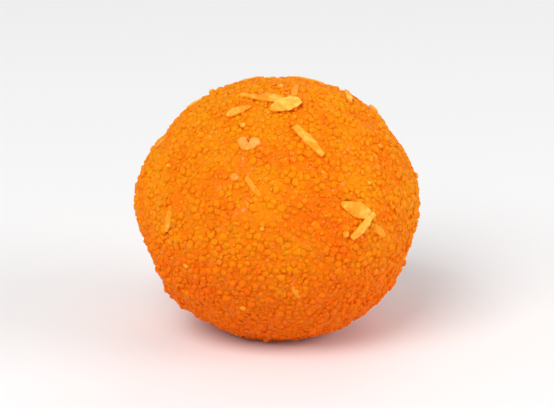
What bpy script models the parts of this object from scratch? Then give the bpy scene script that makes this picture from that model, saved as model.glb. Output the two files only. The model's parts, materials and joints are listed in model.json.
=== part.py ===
"""Boondi ladoo: a ball of tiny fried gram-flour pearls, bound with sugar syrup and pressed by hand.

The ladoo is one solid. It is wider than it is tall, because it is rolled and pressed between two
palms, and each press leaves a soft flat on it. It stands on a small flat foot, where its own
weight has settled it. Its skin is uneven twice over: in broad lumps, where the handful of pearls
was packed more or less tightly, and in grains the size of one pearl.

Lengths are in metres. +Z is up, +X is the widest way, the ladoo faces -Y, and the origin is the
middle of its foot.
"""

import math

import bpy
from mathutils import Vector, noise

# The finished ladoo, measured over the tops of its pearls.
WIDTH = 0.0500
DEPTH = 0.0486
HEIGHT = 0.0446

# The flat spot that it rests on.
FOOT_DIAMETER = 0.0170

# The sphere's corners lie about one pearl apart, so that each corner can stand for a pearl.
SUBDIVISIONS = 5

# Each press of the palm: the way its flat faces, and how much of the ball it takes off there.
PALM_PRESSES = (
    ((-0.79, 0.05, 0.60), 0.0011),
    ((0.85, 0.05, 0.51), 0.0009),
    ((-0.92, -0.12, -0.37), 0.0015),
    ((0.93, -0.11, -0.34), 0.0011),
    ((0.10, 0.86, 0.50), 0.0006),
    ((-0.60, 0.70, -0.38), 0.0005),
    ((0.50, 0.75, -0.42), 0.0006),
    ((-0.35, -0.85, -0.40), 0.0003),
)
# How flat a press leaves the ball, from 0 for not at all to 1 for a plane.
PALM_FIRMNESS = 0.8

# The skin's unevenness: how far apart its swells lie, and how far they stand in or out.
LUMP_SPACING, LUMP_RISE = 0.0150, 0.00040
FOLD_SPACING, FOLD_RISE = 0.0050, 0.00022
PEARL_SPACING, PEARL_RISE = 0.0014, 0.00028

COLLECTION_NAME = "boondi_ladoo"
NODE_NAME = "ladoo"
SYRUPY_ORANGE = (0.90, 0.22, 0.015, 1.0)


def clear_scene():
    """Removes what the scene holds."""
    for old in list(bpy.data.objects):
        bpy.data.objects.remove(old, do_unlink=True)


def ladoo_collection():
    """Makes the collection that the ladoo goes in."""
    collection = bpy.data.collections.new(COLLECTION_NAME)
    bpy.context.scene.collection.children.link(collection)
    return collection


def ladoo_material():
    """The colour and sheen of pearls that have soaked up orange sugar syrup."""
    material = bpy.data.materials.new("syrup_soaked_pearls")
    material.use_nodes = True
    shader = material.node_tree.nodes["Principled BSDF"]
    shader.inputs["Base Color"].default_value = SYRUPY_ORANGE
    shader.inputs["Roughness"].default_value = 0.5
    shader.inputs["Metallic"].default_value = 0.0
    return material


def half_sizes_before_settling():
    """The ball's half width, half depth and half height before its foot is pressed flat.

    The foot cuts a cap off the ball. The cap of a ball of half width a and half height c whose
    rim has the radius r is c - c * sqrt(1 - (r / a) ** 2) deep.
    """
    half_width, half_depth = WIDTH / 2, DEPTH / 2
    rim = FOOT_DIAMETER / 2 / half_width
    cap_share = 1 - math.sqrt(1 - rim * rim)
    half_height = HEIGHT / (2 - cap_share)
    return Vector((half_width, half_depth, half_height))


def pressed(point, facing, depth, half_sizes):
    """The point after a palm has pressed the ball from the way that facing says."""
    reach = Vector(size * part for size, part in zip(half_sizes, facing)).length
    past = point.dot(facing) - (reach - depth)
    if past <= 0:
        return point
    return point - facing * (PALM_FIRMNESS * past)


def unevenness(point):
    """How far the skin stands out at this point, or in where it is negative."""
    lumps = LUMP_RISE * noise.noise(point / LUMP_SPACING)
    folds = FOLD_RISE * noise.noise(point / FOLD_SPACING)
    pearls = PEARL_RISE * noise.cell(point / PEARL_SPACING)
    return lumps + folds + pearls


def shape_skin(mesh, half_sizes):
    """Presses the flats into a unit sphere that has been made half_sizes big, and roughens it."""
    presses = [(Vector(facing).normalized(), depth) for facing, depth in PALM_PRESSES]
    for vertex in mesh.vertices:
        outward = vertex.co.normalized()
        point = Vector(size * part for size, part in zip(half_sizes, outward))
        for facing, depth in presses:
            point = pressed(point, facing, depth, half_sizes)
        vertex.co = point + outward * unevenness(point)


def extent(mesh, axis):
    """The mesh's lowest and highest place along one axis."""
    places = [vertex.co[axis] for vertex in mesh.vertices]
    return min(places), max(places)


def fit_to_size(mesh, half_sizes):
    """Stretches the mesh to its exact size, and stands it over the origin on its flat foot."""
    full_sizes = (WIDTH, DEPTH, 2 * half_sizes.z)
    for axis, size in enumerate(full_sizes):
        low, high = extent(mesh, axis)
        middle, stretch = (low + high) / 2, size / (high - low)
        for vertex in mesh.vertices:
            vertex.co[axis] = (vertex.co[axis] - middle) * stretch
    floor = half_sizes.z - HEIGHT
    for vertex in mesh.vertices:
        vertex.co.z = max(vertex.co.z - floor, 0.0)


def make_ladoo():
    half_sizes = half_sizes_before_settling()
    bpy.ops.mesh.primitive_ico_sphere_add(subdivisions=SUBDIVISIONS, radius=1.0)
    ladoo = bpy.context.object
    ladoo.name = NODE_NAME
    ladoo.data.name = NODE_NAME
    shape_skin(ladoo.data, half_sizes)
    fit_to_size(ladoo.data, half_sizes)
    ladoo.data.materials.append(ladoo_material())
    ladoo.data.shade_smooth()
    return ladoo


def main():
    clear_scene()
    collection = ladoo_collection()
    ladoo = make_ladoo()
    for home in list(ladoo.users_collection):
        home.objects.unlink(ladoo)
    collection.objects.link(ladoo)


main()
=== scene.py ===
# %% [markdown]
# # A boondi ladoo
#
# A boondi ladoo is a ball of tiny fried pearls of gram flour. The pearls soak in orange sugar
# syrup, a handful is pressed between two palms, and the warm ball is finished with slivers of
# almond and bits of melon seed that stick to it.
#
# In this lesson the ball is built in the order in which it is made: a core of crushed pearls
# and syrup, thousands of whole and broken pearls bedded in it, a few loose ones that stand
# proud, and the garnish last. Every pearl is true geometry at its real size, in metres.
#
# The size comes first. The frame holds the pressed ball as a plain solid, the node `ladoo`, and
# all that is built here is measured from it.

import json
import math

import bpy
from mathutils import Euler, Matrix, Vector

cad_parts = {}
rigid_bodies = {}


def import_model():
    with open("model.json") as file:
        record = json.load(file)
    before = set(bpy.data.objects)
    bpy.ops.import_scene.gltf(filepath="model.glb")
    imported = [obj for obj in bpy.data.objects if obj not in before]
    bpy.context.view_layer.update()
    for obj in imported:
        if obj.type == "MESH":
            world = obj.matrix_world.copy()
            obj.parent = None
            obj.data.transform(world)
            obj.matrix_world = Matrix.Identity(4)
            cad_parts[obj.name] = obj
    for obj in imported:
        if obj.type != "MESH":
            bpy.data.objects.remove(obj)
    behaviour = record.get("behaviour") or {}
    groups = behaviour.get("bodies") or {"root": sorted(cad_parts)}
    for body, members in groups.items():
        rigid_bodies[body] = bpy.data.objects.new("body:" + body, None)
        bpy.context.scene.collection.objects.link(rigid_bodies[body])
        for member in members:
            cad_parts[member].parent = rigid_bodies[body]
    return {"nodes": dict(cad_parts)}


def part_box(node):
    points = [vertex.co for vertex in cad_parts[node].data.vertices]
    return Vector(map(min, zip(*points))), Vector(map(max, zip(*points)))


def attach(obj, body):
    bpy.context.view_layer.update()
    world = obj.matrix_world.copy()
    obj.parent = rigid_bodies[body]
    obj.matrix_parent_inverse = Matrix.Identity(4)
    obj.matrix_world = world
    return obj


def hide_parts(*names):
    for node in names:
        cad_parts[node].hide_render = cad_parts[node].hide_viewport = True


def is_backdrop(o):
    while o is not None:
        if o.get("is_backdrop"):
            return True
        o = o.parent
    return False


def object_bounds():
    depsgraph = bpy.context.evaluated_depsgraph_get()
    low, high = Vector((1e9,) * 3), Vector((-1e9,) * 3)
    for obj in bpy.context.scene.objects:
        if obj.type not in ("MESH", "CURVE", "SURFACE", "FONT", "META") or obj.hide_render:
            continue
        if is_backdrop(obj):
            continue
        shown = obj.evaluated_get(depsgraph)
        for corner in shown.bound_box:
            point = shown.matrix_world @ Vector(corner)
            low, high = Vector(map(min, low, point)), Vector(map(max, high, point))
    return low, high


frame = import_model()
cad_box = [list(corner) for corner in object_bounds()]
MM = 0.001
ball_low, ball_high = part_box("ladoo")
ball_middle = (ball_low + ball_high) / 2
half_sizes = (ball_high - ball_low) / 2
print("the ball measures", [round(2 * half / MM, 1) for half in half_sizes], "mm")

# %% [markdown]
# ## Tools for the bench
#
# Blender's operators act on whatever is selected, so each step starts from a clean selection.
# A finished piece keeps its place in its mesh, and its object sits at the origin: a pattern
# that reads Object coordinates then has the same scale and place on every piece.

# %% Selecting and applying
def pick(*pieces):
    """Selects these pieces and nothing else, and makes the first one active."""
    if bpy.context.mode != "OBJECT":
        bpy.ops.object.mode_set(mode="OBJECT")
    bpy.ops.object.select_all(action="DESELECT")
    for piece in pieces:
        piece.select_set(True)
    if pieces:
        bpy.context.view_layer.objects.active = pieces[0]


def start_editing(piece):
    """Opens a piece in edit mode with all of it selected."""
    pick(piece)
    bpy.ops.object.mode_set(mode="EDIT")
    bpy.ops.mesh.select_all(action="SELECT")


def stop_editing():
    """Goes back to object mode, which writes the edits to the mesh."""
    bpy.ops.object.mode_set(mode="OBJECT")


def apply_modifier(piece, kind, **settings):
    """Adds a modifier, sets it up and applies it."""
    pick(piece)
    bpy.ops.object.modifier_add(type=kind)
    modifier = piece.modifiers[-1]
    for name, value in settings.items():
        setattr(modifier, name, value)
    bpy.ops.object.modifier_apply(modifier=modifier.name)


def triangles(piece):
    """How many triangles a piece has."""
    piece.data.calc_loop_triangles()
    return len(piece.data.loop_triangles)


SAME_PLACE = 1e-6


def tidy_faces(piece):
    """Merges double corners and turns every face outwards."""
    start_editing(piece)
    bpy.ops.mesh.remove_doubles(threshold=SAME_PLACE)
    bpy.ops.mesh.normals_make_consistent(inside=False)
    stop_editing()


# %% [markdown]
# ## Node trees written as sums
#
# A material or a scattering is a small calculation. The class below wraps one socket, so that
# `tone * 0.6 + 0.2` adds the Math nodes for us. Every other node comes from `Wire.of`, which
# sets the node up, feeds its sockets and hands back one of its outputs.

# %% The Wire class
class Wire:
    """One output socket, which Python's own signs can reckon with."""

    def __init__(self, tree, socket):
        self.tree, self.socket = tree, socket

    @staticmethod
    def of(tree, kind, settings=None, feeds=None, out=0):
        """Adds a node. feeds maps a socket's name or number to a value or a Wire."""
        node = tree.nodes.new(kind)
        for name, value in (settings or {}).items():
            if name == "stops":
                Wire.set_stops(node.color_ramp, value)
            else:
                setattr(node, name, value)
        for key, value in (feeds or {}).items():
            Wire.feed(tree, Wire.find(node.inputs, key), value)
        return Wire(tree, Wire.find(node.outputs, out))

    @staticmethod
    def find(sockets, key):
        """The socket in use that has this name or number."""
        in_use = [socket for socket in sockets if socket.enabled]
        if isinstance(key, int):
            return in_use[key]
        return next(socket for socket in in_use if socket.name == key)

    @staticmethod
    def feed(tree, socket, value):
        """Links a Wire to the socket, or sets the socket to a plain value."""
        if isinstance(value, Wire):
            tree.links.new(value.socket, socket)
        else:
            socket.default_value = value

    @staticmethod
    def set_stops(ramp, stops):
        """Gives a colour ramp these stops, each a place and a colour."""
        while len(ramp.elements) < len(stops):
            ramp.elements.new(1.0)
        for element, (place, colour) in zip(ramp.elements, stops):
            element.position, element.color = place, colour

    def also(self, name):
        """Another output of the same node."""
        return Wire(self.tree, Wire.find(self.socket.node.outputs, name))

    def math(self, operation, *others):
        """This number worked on by a Math node."""
        feeds = dict(enumerate((self, *others)))
        return Wire.of(self.tree, "ShaderNodeMath", {"operation": operation}, feeds)

    def vector(self, operation, other=None, out="Vector"):
        """This vector worked on by a Vector Math node."""
        feeds = {0: self} if other is None else {0: self, 1: other}
        return Wire.of(self.tree, "ShaderNodeVectorMath", {"operation": operation}, feeds, out)

    def times(self, factor):
        """This vector made longer or shorter."""
        feeds = {"Vector": self, "Scale": factor}
        return Wire.of(self.tree, "ShaderNodeVectorMath", {"operation": "SCALE"}, feeds)

    def __add__(self, other):
        return self.math("ADD", other)

    def __sub__(self, other):
        return self.math("SUBTRACT", other)

    def __rsub__(self, other):
        return self * -1.0 + other

    def __mul__(self, other):
        return self.math("MULTIPLY", other)

    __radd__, __rmul__ = __add__, __mul__

    def step(self, low, high):
        """0 at low, 1 at high, and a soft step between them."""
        settings = {"interpolation_type": "SMOOTHSTEP"}
        feeds = {"Value": self, "From Min": low, "From Max": high}
        return Wire.of(self.tree, "ShaderNodeMapRange", settings, feeds, "Result")

    def between(self, least, most):
        """Least where this is 0, and most where it is 1."""
        return self * (most - least) + least

    def blend(self, dull, bright):
        """The colour dull where this is 0, and bright where it is 1."""
        feeds = {"Factor": self, "A": dull, "B": bright}
        return Wire.of(self.tree, "ShaderNodeMix", {"data_type": "RGBA"}, feeds, "Result")


# %% [markdown]
# ## The camera
#
# The ladoo is looked at from a little above its waist, the way a sweet on a plate is seen from
# a chair. A long lens from half a metre away keeps the ball's outline true.

# %% Camera
VIEW_DOWN = math.radians(18)
LENS_MM = 180.0
CAMERA_DISTANCE = 0.480
NEAREST_SEEN = 0.01

pick()
bpy.ops.object.camera_add()
camera = bpy.context.object
camera.name = "camera"
camera.data.lens = LENS_MM
camera.data.clip_start = NEAREST_SEEN
backwards = Vector((0, -math.cos(VIEW_DOWN), math.sin(VIEW_DOWN)))
camera.location = ball_middle + CAMERA_DISTANCE * backwards
camera.rotation_euler = Euler((math.pi / 2 - VIEW_DOWN, 0, 0))
bpy.context.scene.camera = camera
print("camera at", [round(place, 3) for place in camera.location])

# %% [markdown]
# ## The skin
#
# The ball as the palms pressed it is the skin, the level that the pearls reach up to. A copy of
# it stays on the bench until the end, to be measured from. The frame's solids come as loose
# triangles, so a copy's corners are merged first.

# %% Copy the ball
def ball_copy(name):
    """A closed, joined-up copy of the ball as it was pressed."""
    piece = bpy.data.objects.new(name, frame["nodes"]["ladoo"].data.copy())
    bpy.context.scene.collection.objects.link(piece)
    piece.data.materials.clear()
    tidy_faces(piece)
    return piece


skin = ball_copy("skin")
print("the skin is one shell of", len(skin.data.vertices), "corners")

# %% [markdown]
# A spot on the ball is named by two angles, as a town is on a globe: its bearing around the ball,
# with 0 towards the camera and positive to the right, and its height over the ball's waist. A ray
# sent in from outside along that way finds where the skin is.

# %% Find a spot on the skin
def spot_on_skin(bearing, height):
    """The place on the skin at these two angles, in degrees."""
    around, above = math.radians(bearing), math.radians(height)
    level = Vector((math.sin(around), -math.cos(around), 0))
    way = math.cos(above) * level + math.sin(above) * Vector((0, 0, 1))
    well_outside = ball_middle + 2 * half_sizes.x * way
    _, place, _, _ = skin.ray_cast(well_outside, -way)
    return place


print("the front of the waist is at", [round(part, 4) for part in spot_on_skin(0, 0)])

# %% [markdown]
# ## The core
#
# Between the pearls lies a paste of crushed pearls and syrup. In some places it has smeared over
# them, and in others it only shows in the gaps, so the core is a slightly smaller copy of the
# ball with an uneven skin.
#
# The ball's faces are as wide as a pearl, so the copy is subdivided first. Three Displace
# modifiers then roughen it: broad clouds where the paste swells up, Voronoi cells for the
# half-drowned pearls, and fine clouds for crumbs. A bump map would be cheaper, but it would
# leave the outline smooth.

# %% Roughen the core
CORE_DEPTH = 0.33 * MM
PASTE_SWELL, PASTE_RISE = 3.2 * MM, 0.35 * MM
DROWNED_PEARL, DROWNED_RISE = 1.5 * MM, 0.40 * MM
CRUMB, CRUMB_RISE = 0.42 * MM, 0.35 * MM


def relief(piece, name, kind, size, rise, middle=0.5):
    """Pushes the skin out and in by a texture whose features are size wide."""
    texture = bpy.data.textures.new(name, kind)
    texture.noise_scale = size
    apply_modifier(piece, "DISPLACE", texture=texture, strength=rise, mid_level=middle)


core = ball_copy("syrup_and_crumb_core")
apply_modifier(core, "SUBSURF", levels=2, render_levels=2)
start_editing(core)
bpy.ops.transform.shrink_fatten(value=-CORE_DEPTH)
stop_editing()
relief(core, "paste_swells", "CLOUDS", PASTE_SWELL, PASTE_RISE)
relief(core, "drowned_pearls", "VORONOI", DROWNED_PEARL, -DROWNED_RISE, middle=0.4)
relief(core, "crumbs", "CLOUDS", CRUMB, CRUMB_RISE)
bpy.ops.object.shade_smooth()
print("the core has", triangles(core), "triangles")

# %% [markdown]
# ## Moulds for the pearls
#
# A boondi pearl is a drop of batter that fried into a ball, so it is nearly round, with a dent
# or a tail where it dripped. Pressing breaks many of them into bits. A few moulds of each are
# enough, because every pearl is turned and scaled on its own.
#
# A cube that is cut twice and blown up to a sphere has 54 even faces: round enough for a thing
# 1.7 mm wide, and few enough for thousands of them. A bit is cut once, and stays half a cube.

# %% Model the moulds
def mould(name, cuts, roundness, squash, dent, seed):
    """A pearl or a bit one unit wide, squash units tall, and uneven by dent."""
    pick()
    bpy.ops.mesh.primitive_cube_add(size=1.0)
    piece = bpy.context.object
    piece.name = name
    start_editing(piece)
    bpy.ops.mesh.subdivide(number_cuts=cuts)
    bpy.ops.transform.tosphere(value=roundness)
    bpy.ops.transform.vertex_random(offset=dent, seed=seed)
    stop_editing()
    width = max(piece.dimensions)
    piece.scale = (1 / width, 1 / width, squash / width)
    bpy.ops.object.transform_apply(location=True, rotation=True, scale=True)
    bpy.ops.object.shade_smooth()
    return piece


def mould_box(name, pieces):
    """Puts moulds in a collection of their own, where the scattering finds them."""
    box = bpy.data.collections.new(name)
    bpy.context.scene.collection.children.link(box)
    for piece in pieces:
        for home in list(piece.users_collection):
            home.objects.unlink(piece)
        box.objects.link(piece)
        print(piece.name, "has", triangles(piece), "triangles")
    return box


pearl_moulds = mould_box("pearl_moulds", [
    mould("round_pearl", cuts=2, roundness=1.0, squash=0.92, dent=0.06, seed=3),
    mould("flat_pearl", cuts=2, roundness=1.0, squash=0.74, dent=0.08, seed=5),
    mould("dented_pearl", cuts=2, roundness=0.9, squash=0.84, dent=0.13, seed=8),
    mould("long_pearl", cuts=2, roundness=0.95, squash=0.80, dent=0.10, seed=13),
])
bit_moulds = mould_box("bit_moulds", [
    mould("split_bit", cuts=1, roundness=0.8, squash=0.70, dent=0.16, seed=21),
    mould("crumb_bit", cuts=1, roundness=0.9, squash=0.85, dent=0.20, seed=34),
    mould("flake_bit", cuts=1, roundness=0.6, squash=0.55, dent=0.14, seed=55),
])

# %% [markdown]
# ## Bedding the pearls
#
# Pearls pressed by hand lie as close as they can, but never two on one spot. That is what Poisson
# disk distribution does: it drops points at random, and takes out each one that is too close to
# another. Geometry Nodes stands a mould on every point, turned at random, and sinks it until
# its crown just reaches the ball's skin. The instances are realised, so that the pearls are
# plain mesh.
#
# First come the steps that every such tree shares. A number that is stored under a name stays
# with the mesh as an attribute, and the materials read it from there.

# %% Steps of the scattering
def new_tree(name):
    """A Geometry Nodes tree with a geometry going in and one coming out."""
    tree = bpy.data.node_groups.new(name, "GeometryNodeTree")
    for way in ("INPUT", "OUTPUT"):
        tree.interface.new_socket("Geometry", in_out=way, socket_type="NodeSocketGeometry")
    return tree


def run_tree(piece, tree, result):
    """Ends the tree with this result, and applies it to the piece."""
    out = tree.nodes.new("NodeGroupOutput")
    tree.links.new(result.socket, out.inputs["Geometry"])
    apply_modifier(piece, "NODES", node_group=tree)
    piece.data.materials.clear()


def chance(tree, low, high, seed, kind="FLOAT"):
    """A number, a whole number or a vector, drawn for each pearl."""
    feeds = {"Min": low, "Max": high, "Seed": seed}
    return Wire.of(tree, "FunctionNodeRandomValue", {"data_type": kind}, feeds, "Value")


def store(geometry, name, value):
    """Keeps a number on each corner or point, under this name."""
    settings = {"data_type": "FLOAT", "domain": "POINT"}
    feeds = {"Geometry": geometry, "Name": name, "Value": value}
    return Wire.of(geometry.tree, "GeometryNodeStoreNamedAttribute", settings, feeds)


def stored(tree, name):
    """The number that was kept under this name."""
    return Wire.of(tree, "GeometryNodeInputNamedAttribute", {"data_type": "FLOAT"}, {"Name": name})


# %% [markdown]
# Syrup isn't spread evenly: it gathers in broad patches, where the ball is a redder orange.
# Some patches are anywhere, from a noise, and some have a spot of their own. Towards the foot
# every tone is made deeper as well, which is painted shade.

# %% Syrup in patches
PATCH_WIDTH = 7 * MM
SOAKED_SPOTS = [  # bearing and height in degrees, reach in millimetres
    (25, 1, 8), (14, 12, 6), (-34, -24, 8), (32, -26, 9), (160, 10, 9), (-120, 12, 8),
]
# Painted shade: below this height every colour is made deeper towards the foot.
FOOT_SHADE_TOP = 0.75 * ball_high.z


def foot_shade(place, least):
    """From least at the foot to 1 at the height where the painted shade of the foot ends."""
    up = Wire.of(place.tree, "ShaderNodeSeparateXYZ", {}, {"Vector": place}, "Z")
    return up.step(0, FOOT_SHADE_TOP).between(least, 1.0)


def dryness_and_foot_shade(tree):
    """From 0 where the ball holds the most syrup to 1 where it holds the least, lowered towards
    the foot as painted shade.
    """
    place = Wire.of(tree, "GeometryNodeInputPosition")
    feeds = {"Scale": 1 / PATCH_WIDTH, "Detail": 3.0}
    dry = Wire.of(tree, "ShaderNodeTexNoise", {}, feeds, 0).step(0.3, 0.7).between(0.25, 0.95)
    for bearing, height, reach in SOAKED_SPOTS:
        away = place.vector("DISTANCE", tuple(spot_on_skin(bearing, height)), "Value")
        dry = dry * away.step(0, reach * MM).between(0.2, 1.0)
    # Towards the foot the tone is lowered, which is painted shade.
    return dry * foot_shade(place, least=0.25)


# The deeper colour below this height is painted shade at the foot.
print(len(SOAKED_SPOTS), "soaked spots, and syrup drains from", round(FOOT_SHADE_TOP / MM, 1), "mm up")

# %% [markdown]
# Then the palms press: whatever stands over a level just under the skin is pushed most of the
# way back to it, which flattens the crowns. Nothing reaches below the table.
#
# The press also knows how deep each corner lies below the skin, and stores that for the colour:
# deep in the gaps the colour is darkened, which is painted shade.

# %% Height over the skin, and the press
def height_over(tree, shell):
    """How far each corner stands out of the shell, and the way out."""
    place = Wire.of(tree, "GeometryNodeInputPosition")
    nearest = Wire.of(tree, "GeometryNodeProximity", {"target_element": "FACES"}, {0: shell})
    way_out = place.vector("SUBTRACT", tuple(ball_middle)).vector("NORMALIZE")
    return place.vector("SUBTRACT", nearest).vector("DOT_PRODUCT", way_out, "Value"), way_out


def press(geometry, shell, level, firmness):
    """Pushes back what stands over this level, and stores each corner's depth."""
    height, way_out = height_over(geometry.tree, shell)
    pushed = (height - level).math("MAXIMUM", 0.0) * firmness
    geometry = store(geometry, "depth", pushed - height)
    feeds = {"Geometry": geometry, "Offset": way_out.times(pushed * -1.0)}
    return Wire.of(geometry.tree, "GeometryNodeSetPosition", {}, feeds)


def keep_off_table(geometry):
    """Flattens what would reach below the table."""
    tree = geometry.tree
    place = Wire.of(tree, "GeometryNodeInputPosition")
    split = Wire.of(tree, "ShaderNodeSeparateXYZ", {}, {"Vector": place}, "X")
    feeds = {"X": split, "Y": split.also("Y"), "Z": split.also("Z").math("MAXIMUM", 0.0)}
    raised = Wire.of(tree, "ShaderNodeCombineXYZ", {}, feeds)
    return Wire.of(tree, "GeometryNodeSetPosition", {}, {"Geometry": geometry, "Position": raised})


# %% [markdown]
# Now the scattering itself. Besides its place, its size and its turn, each pearl draws a tone:
# near 0 it has soaked up much syrup and is a deep orange, and near 1 it is dry and honey-like.
# About a third of the tone is the pearl's own, and the rest is that of the patch it lies in,
# lowered towards the foot as painted shade.

# %% The scattering
# How many points are dropped where one has room, before the crowded ones are taken out.
CROWDING = 5
# How much of a pearl's tone is its own.
OWN_TONE = 0.35
# How far a pearl's crown stands over its middle, as a share of its width.
CROWN = 0.42
# How far a pearl may lean over, in radians.
MOST_LEAN = 0.7
LEAST_STRETCH, MOST_STRETCH = (0.85, 0.85, 0.85), (1.2, 1.1, 1.0)


def scatter(name, seed, moulds, spacing, widths, proud, pressed_at, firmness, tones, share=1.0):
    """Pearls or bits all over the ball, as one mesh.

    spacing is the least way between two of them, widths and proud are the least and the most
    that each is wide and stands over the skin, and pressed_at is the level that the palms press
    down to. Only those whose tone is within tones are kept, and of those only this share.
    """
    piece = skin.copy()
    piece.data = skin.data.copy()
    piece.name = name
    bpy.context.scene.collection.objects.link(piece)
    tree = new_tree(name)
    shell = Wire.of(tree, "NodeGroupInput")

    feeds = {"Mesh": shell, "Distance Min": spacing, "Density Max": CROWDING / spacing**2,
             "Seed": seed}
    settings = {"distribute_method": "POISSON"}
    spots = Wire.of(tree, "GeometryNodeDistributePointsOnFaces", settings, feeds)
    normal, upright = spots.also("Normal"), spots.also("Rotation")
    tone = chance(tree, 0.0, 1.0, seed + 1) * OWN_TONE + dryness_and_foot_shade(tree) * (1 - OWN_TONE)
    points = store(spots, "tone", tone)
    its_tone = stored(tree, "tone")
    left_out = its_tone.math("LESS_THAN", tones[0]) + its_tone.math("GREATER_THAN", tones[1])
    left_out = left_out + chance(tree, 0.0, 1.0, seed + 7).math("GREATER_THAN", share)
    feeds = {"Geometry": points, "Selection": left_out}
    points = Wire.of(tree, "GeometryNodeDeleteGeometry", {"domain": "POINT"}, feeds)

    width = chance(tree, *widths, seed + 2)
    lift = chance(tree, *proud, seed + 3) - width * CROWN
    feeds = {"Geometry": points, "Offset": normal.times(lift)}
    points = Wire.of(tree, "GeometryNodeSetPosition", {}, feeds)
    least_turn, most_turn = (-MOST_LEAN, -MOST_LEAN, -math.pi), (MOST_LEAN, MOST_LEAN, math.pi)
    turn = chance(tree, least_turn, most_turn, seed + 4, "FLOAT_VECTOR")
    settings, feeds = {"rotation_space": "LOCAL"}, {"Rotation": upright, "Rotate By": turn}
    turned = Wire.of(tree, "FunctionNodeRotateRotation", settings, feeds)
    stretch = chance(tree, LEAST_STRETCH, MOST_STRETCH, seed + 5, "FLOAT_VECTOR")
    feeds = {"Collection": moulds, "Separate Children": True, "Reset Children": True}
    shapes = Wire.of(tree, "GeometryNodeCollectionInfo", {}, feeds)
    which = chance(tree, 0, len(moulds.objects) - 1, seed + 6, "INT")
    feeds = {"Points": points, "Instance": shapes, "Pick Instance": True,
             "Instance Index": which, "Rotation": turned, "Scale": stretch.times(width)}
    pearls = Wire.of(tree, "GeometryNodeInstanceOnPoints", {}, feeds)
    pearls = Wire.of(tree, "GeometryNodeRealizeInstances", {}, {"Geometry": pearls})
    pearls = press(pearls, shell, pressed_at, firmness)
    run_tree(piece, tree, keep_off_table(pearls))
    pick(piece)
    bpy.ops.object.shade_smooth()
    print(name, "has", triangles(piece), "triangles")
    return piece


# %% [markdown]
# Whole pearls are bedded about level with the skin and pressed, broken bits fill the space between
# them, and a few loose grains have stuck on late and stand proud.
#
# The whole pearls fill three meshes and the bits two, because a mesh with too many triangles is
# slow to handle. They are parted by tone: the same seed gives each mesh the same spots, and it
# keeps the pearls of its own tone.

# %% Scatter the pearls, the bits and the loose ones
WHOLE = {"moulds": pearl_moulds, "spacing": 1.02 * MM, "widths": (1.00 * MM, 1.75 * MM),
         "proud": (-0.26 * MM, 0.06 * MM), "pressed_at": -0.08 * MM, "firmness": 0.6}
BITS = {"moulds": bit_moulds, "spacing": 0.86 * MM, "widths": (0.45 * MM, 1.10 * MM),
        "proud": (-0.24 * MM, 0.02 * MM), "pressed_at": -0.04 * MM, "firmness": 0.5}
LOOSE = {"moulds": pearl_moulds, "spacing": 3.0 * MM, "widths": (1.0 * MM, 1.6 * MM),
         "proud": (0.05 * MM, 0.30 * MM), "pressed_at": 0.12 * MM, "firmness": 0.5, "share": 0.35}

pearl_pieces = [
    scatter("deep_orange_pearls", 11, tones=(-1.0, 0.36), **WHOLE),
    scatter("orange_pearls", 11, tones=(0.36, 0.51), **WHOLE),
    scatter("honey_orange_pearls", 11, tones=(0.51, 2.0), **WHOLE),
    scatter("deep_orange_bits", 41, tones=(-1.0, 0.44), **BITS),
    scatter("honey_orange_bits", 41, tones=(0.44, 2.0), **BITS),
    scatter("loose_pearls", 71, tones=(-1.0, 2.0), **LOOSE),
]

# %% [markdown]
# The core isn't scattered, but it needs the same two numbers for its colour. A short tree presses
# it where it stands over the skin, and stores its depth and the tone of the patch.

# %% Mark the depth and tone of what isn't scattered
def mark_depth(piece, firmness):
    """Presses a piece down to the skin, and stores its depth and tone."""
    tree = new_tree(piece.name + "_marks")
    geometry = Wire.of(tree, "NodeGroupInput")
    feeds = {"Object": skin}
    shell = Wire.of(tree, "GeometryNodeObjectInfo", {}, feeds, "Geometry")
    geometry = store(geometry, "tone", dryness_and_foot_shade(tree))
    run_tree(piece, tree, keep_off_table(press(geometry, shell, 0.0, firmness)))


mark_depth(core, firmness=0.6)
print("the core holds its depth:", "depth" in core.data.attributes)
print("and its tone:", "tone" in core.data.attributes)

# %% [markdown]
# ## The garnish
#
# Blanched almonds are cut into slivers and thin slices, and strewn over the ladoo with bits of
# melon seed while it is still sticky. They lie flat on the skin, a little sunk, and syrup creeps
# up their edges and tints them yellow.
#
# A sliver is drawn like a strip of dough: a small end face is extruded along the sliver's length,
# and each stretch is scaled, so that it tapers, and turned, so that it twists. Then its edges are
# bevelled, so that they stay narrow, and the whole is subdivided, which rounds what is between.

# %% Slivers
CENTRE = {"center_override": (0, 0, 0)}
CUT_EDGE = math.radians(35)
SLIVER_END = 0.6  # how wide its ends are, as a share of its middle
SLIVER_SHAKE = 0.05  # how unevenly it is cut, as a share of its width
SLIVER_EDGE = 0.12  # how wide its bevels are, as a share of its thickness


def soften(piece, edge, levels):
    """Bevels the sharp edges by this width, and rounds the piece between them."""
    apply_modifier(piece, "BEVEL", width=edge, segments=1, angle_limit=CUT_EDGE)
    apply_modifier(piece, "SUBSURF", levels=levels, render_levels=levels)


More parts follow.
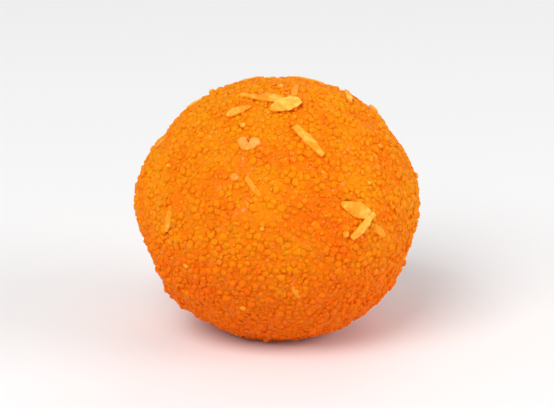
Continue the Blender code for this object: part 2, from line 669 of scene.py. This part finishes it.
def sliver(name, length, width, thickness, twist, seed, parts=7):
    """A tapered stick along X that lies on its broad side."""
    pick()
    bpy.ops.mesh.primitive_plane_add(size=1.0)
    piece = bpy.context.object
    piece.name = name
    start_editing(piece)
    bpy.ops.transform.rotate(value=math.pi / 2, orient_axis="Y", **CENTRE)
    bpy.ops.transform.resize(value=(1, SLIVER_END * width, thickness), **CENTRE)
    bpy.ops.transform.rotate(value=-twist / 2, orient_axis="X", **CENTRE)
    bpy.ops.transform.translate(value=(-length / 2, 0, 0))
    swell = SLIVER_END
    for part in range(1, parts + 1):
        bpy.ops.mesh.extrude_region_move(TRANSFORM_OT_translate={"value": (length / parts, 0, 0)})
        bpy.ops.transform.rotate(value=twist / parts, orient_axis="X", **CENTRE)
        new_swell = SLIVER_END + (1 - SLIVER_END) * math.sin(math.pi * part / parts)
        bpy.ops.transform.resize(value=(1, new_swell / swell, 1), **CENTRE)
        swell = new_swell
    bpy.ops.mesh.select_all(action="SELECT")
    bpy.ops.mesh.normals_make_consistent(inside=False)
    bpy.ops.transform.vertex_random(offset=SLIVER_SHAKE * width, seed=seed)
    stop_editing()
    soften(piece, SLIVER_EDGE * thickness, 1)
    return piece


# %% [markdown]
# A slice is the almond's cross-section, so it starts as an oval disc. Its outline is shaken a
# little first, because nuts chip where they are cut. The disc is extruded to its thickness, and
# it tapers to one end, as an almond does.

# %% Slices
SLICE_SHAKE = 0.09  # how chipped its outline is, as a share of its width
SLICE_EDGE = 0.16  # how wide its bevels are, as a share of its thickness
SLICE_TAPER = -0.6  # below 0, it narrows towards +X


def slice_of_almond(name, length, width, thickness, seed):
    """An oval slice that lies flat, with its point towards +X."""
    pick()
    bpy.ops.mesh.primitive_circle_add(vertices=16, radius=0.5, fill_type="NGON")
    piece = bpy.context.object
    piece.name = name
    start_editing(piece)
    bpy.ops.transform.resize(value=(length, width, 1), **CENTRE)
    bpy.ops.transform.vertex_random(offset=SLICE_SHAKE * width, seed=seed)
    bpy.ops.transform.resize(value=(1, 1, 0), **CENTRE)
    bpy.ops.mesh.extrude_region_move(TRANSFORM_OT_translate={"value": (0, 0, thickness)})
    bpy.ops.mesh.select_all(action="SELECT")
    bpy.ops.mesh.normals_make_consistent(inside=False)
    stop_editing()
    taper = {"deform_method": "TAPER", "deform_axis": "X", "factor": SLICE_TAPER}
    apply_modifier(piece, "SIMPLE_DEFORM", **taper)
    soften(piece, SLICE_EDGE * thickness, 2)
    return piece


# %% [markdown]
# Melon seeds and crumbs of almond start as a cube blown up to a ball, like the pearls. A seed is
# pressed flat and tapers to one end, and a crumb is just shaken out of shape.

# %% Seeds and crumbs
SEED_TAPER = -0.9  # below 0, it narrows towards +X


def pebble(name, cuts, roundness, size, dent, seed):
    """A rounded lump of this size, with its middle at the origin."""
    pick()
    bpy.ops.mesh.primitive_cube_add(size=1.0)
    piece = bpy.context.object
    piece.name = name
    start_editing(piece)
    bpy.ops.mesh.subdivide(number_cuts=cuts)
    bpy.ops.transform.tosphere(value=roundness)
    bpy.ops.transform.vertex_random(offset=dent, seed=seed)
    stop_editing()
    stretch = [wanted / has for wanted, has in zip(size, piece.dimensions)]
    start_editing(piece)
    bpy.ops.transform.resize(value=stretch, **CENTRE)
    stop_editing()
    return piece


def melon_seed(name, length, width, thickness, seed):
    """Half a flat seed, with its point towards +X."""
    piece = pebble(name, 3, 1.0, (length, width, thickness), 0.03, seed)
    taper = {"deform_method": "TAPER", "deform_axis": "X", "factor": SEED_TAPER}
    apply_modifier(piece, "SIMPLE_DEFORM", **taper)
    apply_modifier(piece, "SUBSURF", levels=1, render_levels=1)
    return piece


# %% [markdown]
# A piece of garnish is bent over the ball and laid on a spot of the skin. Its turn is the angle
# between its length and the level line through that spot. The pieces of one kind are then joined,
# fine clouds chip them, and they store how near the skin they are, for the stain of the syrup.

# %% Laying garnish on the skin
CHIP, CHIP_RISE = 0.9 * MM, 0.45 * MM
SMOOTH_UP_TO = math.radians(50)


def hug_ball(piece):
    """Bends a flat piece over the ball: what is farther out drops farther."""
    tree = new_tree(piece.name + "_bend")
    flat = Wire.of(tree, "GeometryNodeInputPosition").vector("MULTIPLY", (1, 1, 0))
    drop = flat.vector("DOT_PRODUCT", flat, "Value") * (-0.5 / half_sizes.x)
    feeds = {"Geometry": Wire.of(tree, "NodeGroupInput"),
             "Offset": Wire.of(tree, "ShaderNodeCombineXYZ", {}, {"Z": drop})}
    run_tree(piece, tree, Wire.of(tree, "GeometryNodeSetPosition", {}, feeds))


def lay(piece, bearing, height, turn, pitch, sunk):
    """Lays a piece on the skin, tipped up by pitch degrees and sunk by so many millimetres."""
    hug_ball(piece)
    place = spot_on_skin(bearing, height)
    from_middle = place - ball_middle
    out = Vector(part / half**2 for part, half in zip(from_middle, half_sizes)).normalized()
    east = Vector((0, 0, 1)).cross(out).normalized()
    stand = Matrix((east, out.cross(east), out)).transposed().to_4x4()
    spin = Matrix.Rotation(math.radians(turn), 4, "Z")
    tip = Matrix.Rotation(-math.radians(pitch), 4, "Y")
    pick(piece)
    piece.matrix_world = Matrix.Translation(place - sunk * MM * out) @ stand @ spin @ tip
    bpy.ops.object.transform_apply(location=True, rotation=True, scale=True)
    tidy_faces(piece)
    bpy.ops.object.shade_smooth_by_angle(angle=SMOOTH_UP_TO)
    return piece


def gather(name, pieces):
    """Joins pieces of one kind, makes them uneven, and marks how near the skin they are."""
    pick(*pieces)
    bpy.ops.object.join()
    whole = pieces[0]
    whole.name = name
    whole.data.name = name
    relief(whole, name + "_chips", "CLOUDS", CHIP, CHIP_RISE)
    mark_depth(whole, firmness=0.0)
    print(name, "has", triangles(whole), "triangles")
    return whole


# %% [markdown]
# Most of the garnish lies where the hand strewed it, on the top and the front. Every entry says
# where a piece lies and how it is turned, in degrees, and how large it is and how deep it is
# sunk, in millimetres. A piece that is sunk deep is stained darker. In the loops, lie stands for
# the first four numbers, which say how a piece lies.

# %% Almond slivers
SLIVER_THICKNESS = 0.6 * MM
SLIVERS = [  # bearing, height, turn, pitch, sunk, length, width, twist
    (19, 45, -61, 0, -0.02, 7.2, 1.8, 14),
    (36, 6, 36, 1, -0.02, 6.0, 1.5, -10),
    (-32, 71, -4, 0, 0.05, 6.4, 1.2, 12),
    (34, 76, 52, 2, 0.20, 6.0, 1.2, 8),
    (1, 70, -34, 1, -0.15, 5.2, 1.4, 12),
    (45, 2, -48, 0, 0.36, 3.6, 1.3, 0),
    (-49, 5, 82, -3, 0.38, 3.8, 1.5, 6),
    (8, -20, -64, 0, 0.56, 3.0, 1.1, 0),
    (-11, 25, -50, 0, 0.46, 4.2, 1.0, 0),
    (150, 62, 20, 0, 0.10, 6.0, 1.4, -12),
    (-128, 44, -35, 2, -0.15, 6.6, 1.5, 10),
    (118, 24, 64, 0, 0.10, 5.6, 1.4, 6),
    (-172, 22, -12, 0, 0.00, 5.0, 1.3, -8),
    (88, 58, 10, 2, -0.05, 5.2, 1.2, 10),
    (-88, 30, 48, 0, 0.10, 4.6, 1.3, 0),
]
sliver_pieces = []
for number, (*lie, sunk, length, width, twist) in enumerate(SLIVERS):
    size = (length * MM, width * MM, SLIVER_THICKNESS)
    stick = sliver(f"sliver_{number}", *size, math.radians(twist), number)
    sliver_pieces.append(lay(stick, *lie, sunk))
slivers = gather("almond_slivers", sliver_pieces)

# %% Almond slices
SLICE_THICKNESS = 0.45 * MM
SLICES = [  # bearing, height, turn, pitch, sunk, length, width
    (8, 65, 204, -1, -0.06, 5.6, 3.4),
    (-10, 71, 166, 0, 0.30, 4.8, 2.2),
    (-35, 60, 50, 0, 0.20, 4.6, 1.7),
    (34, 13, 150, -4, 0.40, 6.0, 2.5),
    (-150, 66, 15, 0, 0.30, 5.0, 3.0),
    (162, 42, -40, 0, 0.20, 4.6, 2.8),
]
slice_pieces = []
for number, (*lie, sunk, length, width) in enumerate(SLICES):
    flake = slice_of_almond(f"slice_{number}", length * MM, width * MM, SLICE_THICKNESS, number)
    slice_pieces.append(lay(flake, *lie, sunk))
slices = gather("almond_slices", slice_pieces)

# %% Melon seeds
SEED_THICKNESS = 0.9 * MM
SEEDS = [  # bearing, height, turn, pitch, sunk, length, width
    (-19, 43, -44, 0, 0.05, 3.2, 1.9),
    (-14, 43, 222, 0, 0.05, 3.2, 1.8),
    (-20, 28, 10, 0, 0.35, 1.8, 1.5),
    (-140, 20, 60, 0, 0.05, 3.0, 1.8),
    (100, 44, -20, 0, 0.05, 2.8, 1.8),
]
seed_pieces = []
for number, (*lie, sunk, length, width) in enumerate(SEEDS):
    half_seed = melon_seed(f"seed_{number}", length * MM, width * MM, SEED_THICKNESS, number)
    seed_pieces.append(lay(half_seed, *lie, sunk))
seeds = gather("melon_seed_halves", seed_pieces)

# %% Almond crumbs
CRUMB_TURN = 47  # from one crumb to the next, in degrees, so that no two lie alike
CRUMBS = [  # bearing, height, sunk, width
    (-2, 62, 0.1, 1.1), (14, 58, 0.2, 0.9), (4, 36, 0.2, 0.9), (22, 30, 0.2, 0.8),
    (-24, 52, 0.0, 1.0), (44, 22, 0.1, 0.9), (28, 4, 0.1, 1.0), (-40, -12, 0.2, 0.9),
    (-58, 26, 0.1, 1.0), (62, 34, 0.1, 0.9), (-6, 8, 0.2, 0.8), (-16, -30, 0.2, 1.0),
    (120, 50, 0.0, 1.0), (-110, 58, 0.0, 1.1), (175, 56, 0.0, 1.0), (-165, 2, 0.1, 0.9),
    (90, 12, 0.1, 0.9), (-95, 4, 0.1, 0.9), (140, 8, 0.1, 0.9), (10, 82, 0.0, 1.1),
]
crumb_pieces = []
for number, (bearing, height, sunk, width) in enumerate(CRUMBS):
    size = (width * MM, 0.85 * width * MM, 0.7 * width * MM)
    bit = pebble(f"crumb_{number}", 2, 0.85, size, 0.13, number)
    crumb_pieces.append(lay(bit, bearing, height, CRUMB_TURN * number, 0, sunk))
crumbs = gather("almond_crumbs", crumb_pieces)

# %% [markdown]
# ## Materials
#
# All patterns read Object coordinates or a number that the corners hold, so that they stay where
# they are on the ladoo from every side.

# %% Shared patterns
def start_material(name):
    """A new material, its tree and its shader."""
    material = bpy.data.materials.new(name)
    material.use_nodes = True
    return material, material.node_tree, material.node_tree.nodes["Principled BSDF"]


def object_place(tree):
    """Where the point that is shaded lies on the ladoo."""
    return Wire.of(tree, "ShaderNodeTexCoord", out="Object")


def noise(tree, size, detail=2.0):
    """A pattern whose features are about size metres wide."""
    feeds = {"Vector": object_place(tree), "Scale": 1 / size, "Detail": detail}
    return Wire.of(tree, "ShaderNodeTexNoise", {}, feeds, 0)


def mark(tree, name):
    """A number that the mesh's corners hold."""
    return Wire.of(tree, "ShaderNodeAttribute", {"attribute_name": name}, out="Fac")


def bump(tree, height, depth, strength):
    """Makes the surface look uneven by this pattern."""
    feeds = {"Height": height, "Distance": depth, "Strength": strength}
    return Wire.of(tree, "ShaderNodeBump", {}, feeds)


def feed_shader(shader, feeds):
    """Links what varies over the surface to the shader."""
    for name, wire in feeds.items():
        Wire.feed(wire.tree, shader.inputs[name], wire)


def set_constants(shader, **values):
    """Sets what is the same all over the surface on the shader's own sockets."""
    for name, value in values.items():
        shader.inputs[name.replace("_", " ")].default_value = value


# %% [markdown]
# A soaked pearl lets light in a little way, so it gets subsurface scattering that reaches further
# in red than in green. Its colour follows its tone, which freckles break up, and turns deeper in
# the gaps between the pearls, which is painted shade. Low on the ball every tone is deeper, which
# is painted shade towards the foot. A fine bump makes the fried crust, and patches of clear coat
# are the syrup that has not dried.
#
# The paste is the same stuff crushed, so it gets the same material with fewer and deeper tones.

# %% Soaked pearls and paste
FRECKLE, WET_PATCH, CRUST_GRAIN = 0.5 * MM, 0.9 * MM, 0.25 * MM
FRECKLE_SHARE = 0.15
# Painted shade: between these depths the colour turns to a deeper, darker one in the gaps.
GAP_SHADE_DEPTHS = (0.25 * MM, 0.95 * MM)


def soaked_material(name, tones, gap_shade_colour):
    """Fried batter full of syrup. tones runs from the most soaked to the most honey-like."""
    material, tree, shader = start_material(name)
    freckles = noise(tree, FRECKLE).step(0.35, 0.65)
    tone = mark(tree, "tone") * (1 - FRECKLE_SHARE) + freckles * FRECKLE_SHARE
    # Painted shade: every tone is made deeper towards the foot.
    tone = tone * foot_shade(object_place(tree), least=0.35)
    body = Wire.of(tree, "ShaderNodeValToRGB", {"stops": tones}, {0: tone}, "Color")
    wet = noise(tree, WET_PATCH).step(0.58, 0.66)
    crust = noise(tree, CRUST_GRAIN, 3.0)
    feed_shader(shader, {
        # Painted shade: the deeper a corner lies in a gap, the darker its colour.
        "Base Color": mark(tree, "depth").step(*GAP_SHADE_DEPTHS).blend(body, gap_shade_colour),
        "Roughness": 0.62 - wet * 0.2,
        "Coat Weight": wet * 0.35,
        "Normal": bump(tree, crust, 0.05 * MM, 0.4),
    })
    set_constants(shader, Coat_Roughness=0.14, Specular_IOR_Level=0.05, Subsurface_Weight=0.5,
                  Subsurface_Radius=(1.0, 0.55, 0.1), Subsurface_Scale=1.0 * MM)
    print(name, "runs through", len(tones), "tones")
    return material


PEARL_TONES = [(0.08, (0.88, 0.125, 0.001, 1)), (0.30, (0.87, 0.185, 0.001, 1)),
               (0.55, (0.88, 0.240, 0.001, 1)), (0.90, (0.90, 0.280, 0.003, 1))]
PASTE_TONES = [(0.10, (0.87, 0.145, 0.001, 1)), (0.90, (0.89, 0.245, 0.002, 1))]
# The last colour given to each is the painted shade deep in the gaps.
pearl_material = soaked_material("soaked_pearls", PEARL_TONES, (0.85, 0.17, 0.001, 1))
paste_material = soaked_material("syrup_paste", PASTE_TONES, (0.82, 0.145, 0.001, 1))

# %% [markdown]
# Nuts and seeds are pale, matt and a little waxy. Broad patches of them are duller, and near the
# skin they take the syrup's colour. Drips make the edge of that stain uneven: they raise and
# lower it, the way syrup creeps up a cut face in some places and not in others.

# %% Nuts and seeds
DULL_PATCH, NUT_GRAIN = 1.6 * MM, 0.3 * MM
DRIP, DRIP_RISE = 0.9 * MM, 1.2 * MM
STAIN_HEIGHT = 0.6 * MM


def nut_material(name, dull, bright, stained):
    """Pale, matt and a little waxy, and stained where it touches the syrup."""
    material, tree, shader = start_material(name)
    flesh = noise(tree, DULL_PATCH, 3.0).step(0.3, 0.7).blend(bright, dull)
    grain = noise(tree, NUT_GRAIN, 3.0)
    height = (noise(tree, DRIP) - 0.5) * DRIP_RISE - mark(tree, "depth")
    feed_shader(shader, {
        "Base Color": height.step(0.0, STAIN_HEIGHT).blend(stained, flesh),
        "Roughness": 0.5 + grain * 0.2,
        "Normal": bump(tree, grain, 0.06 * MM, 0.5),
    })
    set_constants(shader, Specular_IOR_Level=0.25, Subsurface_Weight=0.35,
                  Subsurface_Radius=(1.0, 0.6, 0.2), Subsurface_Scale=0.5 * MM)
    print(name, "is stained up to", round(STAIN_HEIGHT / MM, 1), "mm over the skin")
    return material


almond_material = nut_material("syrup_tinted_almond", dull=(0.90, 0.40, 0.03, 1),
                               bright=(0.94, 0.57, 0.09, 1), stained=(0.89, 0.29, 0.006, 1))
seed_material = nut_material("melon_seed", dull=(0.90, 0.39, 0.08, 1),
                             bright=(0.92, 0.49, 0.14, 1), stained=(0.88, 0.29, 0.02, 1))

# %% [markdown]
# Every piece gets its finish and rides on the one body. The plain solid is hidden.

# %% Give each piece its finish and its body
FINISHES = [
    (pearl_material, "syrup_pearls", pearl_pieces),
    (paste_material, "syrup_pearls", [core]),
    (almond_material, "nut_slivers", [slivers, slices, crumbs]),
    (seed_material, "nut_slivers", [seeds]),
]
total = 0
for finish, slot, pieces in FINISHES:
    for piece in pieces:
        piece.data.materials.clear()
        piece.data.materials.append(finish)
        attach(piece, "root")
        total += triangles(piece)
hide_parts("ladoo")
print("in all", total, "triangles")

# %% [markdown]
# ## The studio
#
# A plain pale floor, a large softbox high on the left in front, a weaker one on the right, a faint
# one behind, so that the back isn't dull, and an even white surround. Soft light keeps the little
# shadows between the pearls open.

# %% Floor and light
FLOOR_WIDTH = 6.0
FLOOR_GREY = (0.86, 0.86, 0.86, 1)
SURROUND_STRENGTH = 0.46
SOFTBOXES = [  # name, place, width in metres, watts
    ("key_softbox", (-0.40, -0.65, 0.80), 0.7, 9.2),
    ("fill_softbox", (0.85, -0.25, 0.35), 0.6, 4.0),
    ("back_softbox", (0.20, 0.90, 0.60), 0.6, 1.4),
]

pick()
bpy.ops.mesh.primitive_plane_add(size=FLOOR_WIDTH)
floor = bpy.context.object
floor.name = "floor"
floor_material, _, floor_shader = start_material("pale_floor")
set_constants(floor_shader, Base_Color=FLOOR_GREY, Roughness=0.8, Specular_IOR_Level=0.1)
floor.data.materials.append(floor_material)
floor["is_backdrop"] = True

world = bpy.data.worlds.new("studio")
bpy.context.scene.world = world
world.use_nodes = True
surround = world.node_tree.nodes["Background"]
set_constants(surround, Color=(1, 1, 1, 1), Strength=SURROUND_STRENGTH)

for name, place, width, watts in SOFTBOXES:
    pick()
    bpy.ops.object.light_add(type="AREA", location=place)
    light = bpy.context.object
    light.name = name
    light.data.size = width
    light.data.energy = watts
    light.rotation_euler = (ball_middle - Vector(place)).to_track_quat("-Z", "Y").to_euler()
    print(name, "gives", watts, "watts")
bpy.context.scene.view_settings.view_transform = "Standard"

# %% [markdown]
# ## Clearing the bench
#
# The moulds and the bare skin were only tools, so they go. The looks are measured against the
# ball that they are built on: they may not make it bigger.

# %% Clear, measure and finish
for moulds in (pearl_moulds, bit_moulds):
    for tool in list(moulds.objects):
        bpy.data.objects.remove(tool)
    bpy.data.collections.remove(moulds)
bpy.data.objects.remove(skin)
looks_box = [list(corner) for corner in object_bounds()]
for name, corners in (("cad", cad_box), ("looks", looks_box)):
    print(name, [[round(place / MM, 2) for place in corner] for corner in corners], "mm")
